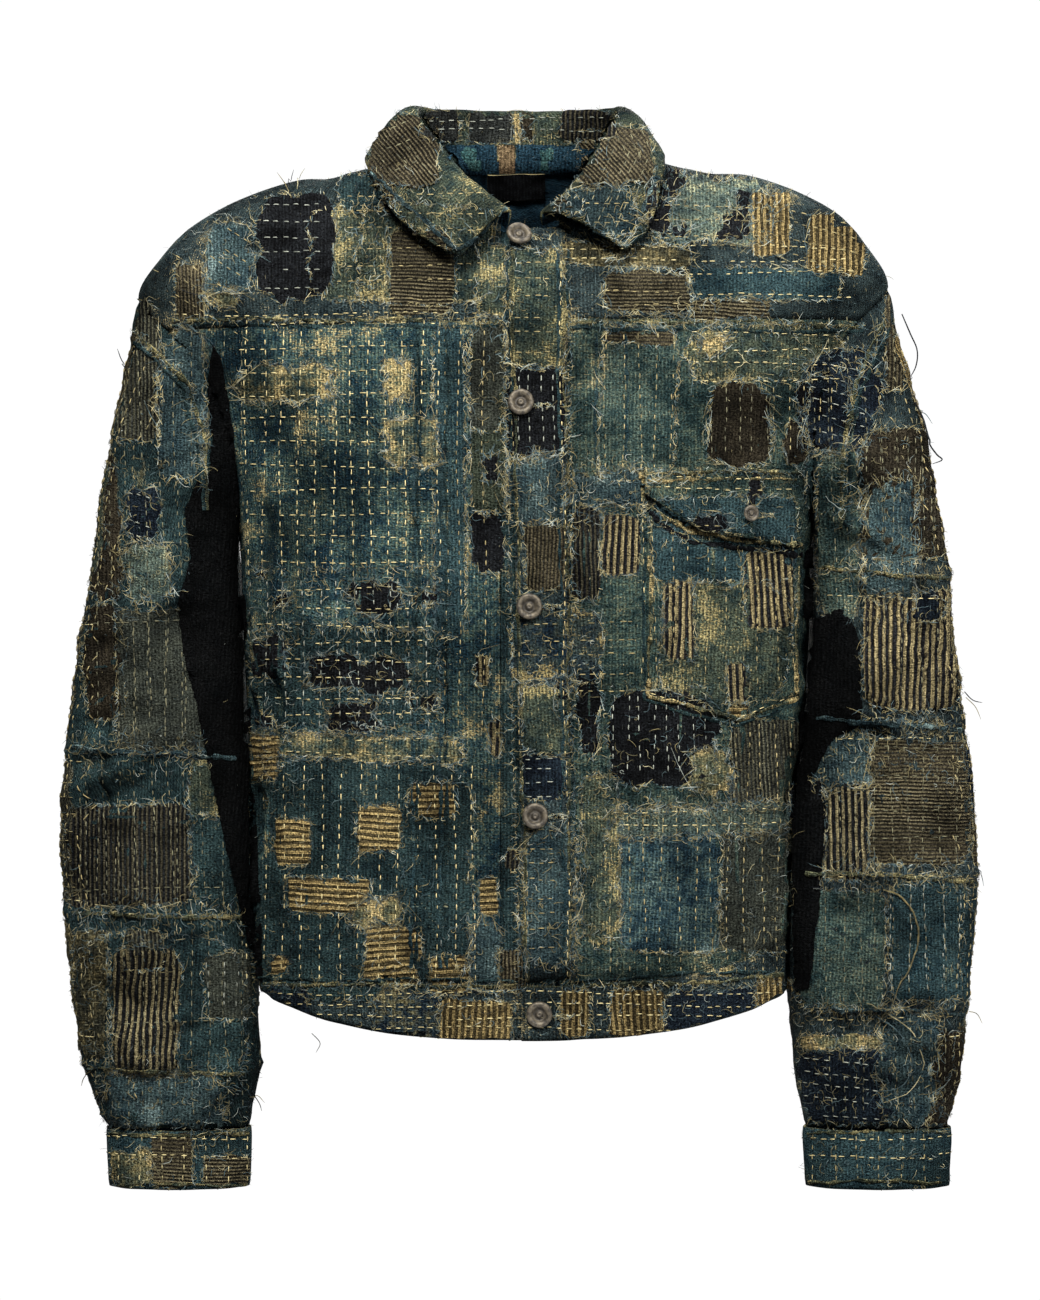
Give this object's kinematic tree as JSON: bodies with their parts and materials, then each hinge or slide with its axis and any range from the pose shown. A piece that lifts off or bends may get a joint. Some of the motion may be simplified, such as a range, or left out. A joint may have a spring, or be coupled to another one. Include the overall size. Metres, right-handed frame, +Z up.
{
  "type": "patched boro jacket",
  "caption": "Waist-length patched work jacket in worn shape, open neck and sleeves, front placket, chest pocket with flap",
  "frame": {"origin": "middle of the neck opening at the height where the wearer's shoulders carry the jacket", "axes": "+Z up along the body, -Y out of the front, -X the wearer's right side, +X the wearer's left side"},
  "size_m": [0.6708, 0.2465, 0.795],
  "materials": {
    "boro_indigo": "worn indigo patchwork cloth with pale running stitches, frayed, matt",
    "boro_dark": "blackish navy patchwork cloth with running stitches, frayed, matt",
    "boro_teal": "faded teal patchwork cloth, fine check and stripes, frayed, matt",
    "boro_brown": "tan and brown ribbed patches on indigo bands, stitched, frayed, matt",
    "label_cloth": "plain black woven label with a thin tan border",
    "button_metal": "dull antiqued metal, worn rim"
  },
  "bodies": {
    "root": {"front_right": "boro_indigo", "front_left": "boro_teal", "yoke_front_right": "boro_dark", "yoke_front_left": "boro_indigo", "back_panel": "boro_indigo", "yoke_back": "boro_dark", "placket": "boro_indigo", "button_stand": "boro_dark", "waistband_right": "boro_brown", "waistband_left": "boro_brown", "waistband_back": "boro_brown", "chest_pocket": "boro_teal", "pocket_flap": "boro_teal", "sleeve_right_front_upper": "boro_indigo", "sleeve_right_front_lower": "boro_indigo", "sleeve_right_back_upper": "boro_dark", "sleeve_right_back_lower": "boro_dark", "sleeve_left_front_upper": "boro_indigo", "sleeve_left_front_lower": "boro_indigo", "sleeve_left_back_upper": "boro_dark", "sleeve_left_back_lower": "boro_dark", "cuff_right": "boro_brown", "cuff_left": "boro_brown", "collar_stand": "boro_teal", "collar_fall": "boro_indigo", "neck_label": "label_cloth", "button_1": "button_metal", "button_2": "button_metal", "button_3": "button_metal", "button_4": "button_metal", "button_5": "button_metal", "button_flap": "button_metal"}
  },
  "joints": []
}
